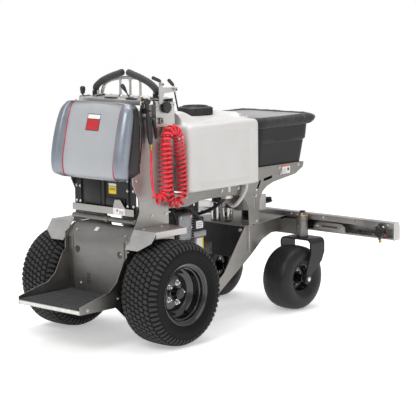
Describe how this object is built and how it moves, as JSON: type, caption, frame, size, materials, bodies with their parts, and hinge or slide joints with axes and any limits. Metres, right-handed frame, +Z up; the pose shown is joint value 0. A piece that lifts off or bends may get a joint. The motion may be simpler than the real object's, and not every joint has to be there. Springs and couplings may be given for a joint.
{
  "type": "stand-on spreader-sprayer",
  "caption": "Ride-on lawn machine with an operator platform, a covered granular hopper, a liquid tank, a coiled spray hose, a wide spray boom, drive wheels and swivelling front casters.",
  "frame": {"origin": "centre of the overall bounding box, on the ground the wheels stand on", "axes": "+X forward, from the operator's platform to the spray boom; +Y to the operator's left; +Z up"},
  "size_m": [1.987, 1.958, 1.5038],
  "materials": {
    "stainless": "brushed",
    "mat_rubber": "matte",
    "black_steel": "satin black",
    "pad_vinyl": "smooth vinyl",
    "black_plastic": "matte",
    "cast_aluminium": "cast",
    "tank_white": "translucent, satin",
    "filter_white": "satin",
    "hopper_charcoal": "satin",
    "cover_fabric": "woven",
    "clear_hose": "glossy",
    "tyre_rubber": "matte",
    "gloss_black": "gloss",
    "foam_grip": "foam",
    "red_hose": "glossy"
  },
  "bodies": {
    "chassis": {"bulkhead_plate": "black_steel", "console_side_left": "stainless", "console_side_right": "stainless", "console_top": "stainless", "control_panel": "stainless", "cross_tube": "stainless", "engine_block": "cast_aluminium", "engine_cowl": "black_plastic", "engine_guard": "black_steel", "fender_left": "stainless", "fender_right": "stainless", "front_axle_beam": "stainless", "front_deck": "stainless", "hopper": "hopper_charcoal", "hopper_tray": "stainless", "hose_coil": "red_hose", "hose_tail": "red_hose", "line_filter": "filter_white", "liquid_tank": "tank_white", "lower_cross_plate": "stainless", "nozzle_left": "black_plastic", "nozzle_right": "black_plastic", "operator_platform": "stainless", "pad_shell": "black_plastic", "platform_mat": "mat_rubber", "rear_cover": "stainless", "reference_bar": "stainless", "side_frame_left": "stainless", "side_frame_right": "stainless", "spinner_motor": "black_plastic", "spray_boom": "stainless", "spray_gun": "black_plastic", "suction_hose": "clear_hose", "support_plate_left": "stainless", "support_plate_right": "stainless", "thigh_pad": "pad_vinyl", "transaxle_left": "cast_aluminium", "transaxle_right": "cast_aluminium"},
    "rear_wheel_left": {"rear_tyre_left": "tyre_rubber", "rear_rim_left": "gloss_black"},
    "rear_wheel_right": {"rear_tyre_right": "tyre_rubber", "rear_rim_right": "gloss_black"},
    "caster_left": {"caster_fork_left": "black_steel"},
    "caster_right": {"caster_fork_right": "black_steel"},
    "caster_wheel_left": {"caster_tyre_left": "tyre_rubber", "caster_rim_left": "gloss_black"},
    "caster_wheel_right": {"caster_tyre_right": "tyre_rubber", "caster_rim_right": "gloss_black"},
    "steering_left": {"steering_lever_left": "foam_grip"},
    "steering_right": {"steering_lever_right": "foam_grip"},
    "throttle": {"throttle_lever": "black_plastic"},
    "spreader_control": {"spreader_lever": "black_plastic"},
    "gate": {"gate_plate": "stainless"},
    "boom_valve_a": {"boom_valve_lever_a": "black_plastic"},
    "boom_valve_b": {"boom_valve_lever_b": "black_plastic"},
    "tank_lid": {"tank_cap": "black_plastic"},
    "hopper_lid": {"hopper_cover": "cover_fabric"},
    "pressure_control": {"pressure_knob": "black_plastic"},
    "spinner": {"spinner_disc": "black_plastic"},
    "trigger": {"gun_trigger": "black_plastic"}
  },
  "joints": [
    {"name": "rear_wheel_left_spin", "type": "hinge", "parent": "chassis", "child": "rear_wheel_left", "pos_m": [-0.4585, 0.41, 0.292], "axis": [0, 1, 0], "continuous": true},
    {"name": "caster_left_swivel", "type": "hinge", "parent": "chassis", "child": "caster_left", "pos_m": [0.7985, 0.318, 0.432], "axis": [0, 0, 1], "continuous": true},
    {"name": "caster_wheel_left_spin", "type": "hinge", "parent": "caster_left", "child": "caster_wheel_left", "pos_m": [0.7015, 0.318, 0.195], "axis": [0, 1, 0], "continuous": true},
    {"name": "steering_lever_left_push", "type": "hinge", "parent": "chassis", "child": "steering_left", "pos_m": [-0.3785, 0.242, 1.362], "axis": [0, 1, 0], "range_deg": [-20, 6], "stiffness_Nm_per_rad": 8},
    {"name": "rear_wheel_right_spin", "type": "hinge", "parent": "chassis", "child": "rear_wheel_right", "pos_m": [-0.4585, -0.41, 0.292], "axis": [0, 1, 0], "continuous": true},
    {"name": "caster_right_swivel", "type": "hinge", "parent": "chassis", "child": "caster_right", "pos_m": [0.7985, -0.318, 0.432], "axis": [0, 0, 1], "continuous": true},
    {"name": "caster_wheel_right_spin", "type": "hinge", "parent": "caster_right", "child": "caster_wheel_right", "pos_m": [0.7015, -0.318, 0.195], "axis": [0, 1, 0], "continuous": true},
    {"name": "steering_lever_right_push", "type": "hinge", "parent": "chassis", "child": "steering_right", "pos_m": [-0.3785, -0.242, 1.362], "axis": [0, 1, 0], "range_deg": [-20, 6], "stiffness_Nm_per_rad": 8},
    {"name": "throttle_turn", "type": "hinge", "parent": "chassis", "child": "throttle", "pos_m": [-0.4085, -0.056, 1.352], "axis": [0, 1, 0], "range_deg": [-20, 20]},
    {"name": "spreader_lever_turn", "type": "hinge", "parent": "chassis", "child": "spreader_control", "pos_m": [-0.4535, 0.272, 1.352], "axis": [0, 1, 0], "range_deg": [0, 34]},
    {"name": "gate_slide", "type": "slide", "parent": "chassis", "child": "gate", "axis": [1, 0, 0], "range_m": [0, 0.115]},
    {"name": "boom_valve_a_turn", "type": "hinge", "parent": "chassis", "child": "boom_valve_a", "pos_m": [-0.3855, -0.2945, 1.425], "axis": [0, 1, 0], "range_deg": [0, 50]},
    {"name": "boom_valve_b_turn", "type": "hinge", "parent": "chassis", "child": "boom_valve_b", "pos_m": [-0.2805, -0.2945, 1.392], "axis": [0, 1, 0], "range_deg": [0, 50]},
    {"name": "tank_cap_lift", "type": "slide", "parent": "chassis", "child": "tank_lid", "axis": [0, 0, 1], "range_m": [0, 0.15]},
    {"name": "hopper_cover_lift", "type": "slide", "parent": "chassis", "child": "hopper_lid", "axis": [0, 0, 1], "range_m": [0, 0.3]},
    {"name": "pressure_knob_turn", "type": "hinge", "parent": "chassis", "child": "pressure_control", "pos_m": [-0.3465, -0.2768, 1.2965], "axis": [0, 1, 0], "range_deg": [-135, 135]},
    {"name": "spinner_spin", "type": "hinge", "parent": "chassis", "child": "spinner", "pos_m": [0.6615, 0, 0.64], "axis": [0, 0, 1], "continuous": true},
    {"name": "trigger_squeeze", "type": "hinge", "parent": "chassis", "child": "trigger", "pos_m": [-0.4425, -0.276, 1.24], "axis": [0, 1, 0], "range_deg": [0, 7], "stiffness_Nm_per_rad": 0.6, "springref_deg": -8.59}
  ],
  "couplings": [
    {"joint": "gate_slide", "follows": "spreader_lever_turn", "m_per_rad": 0.19}
  ]
}
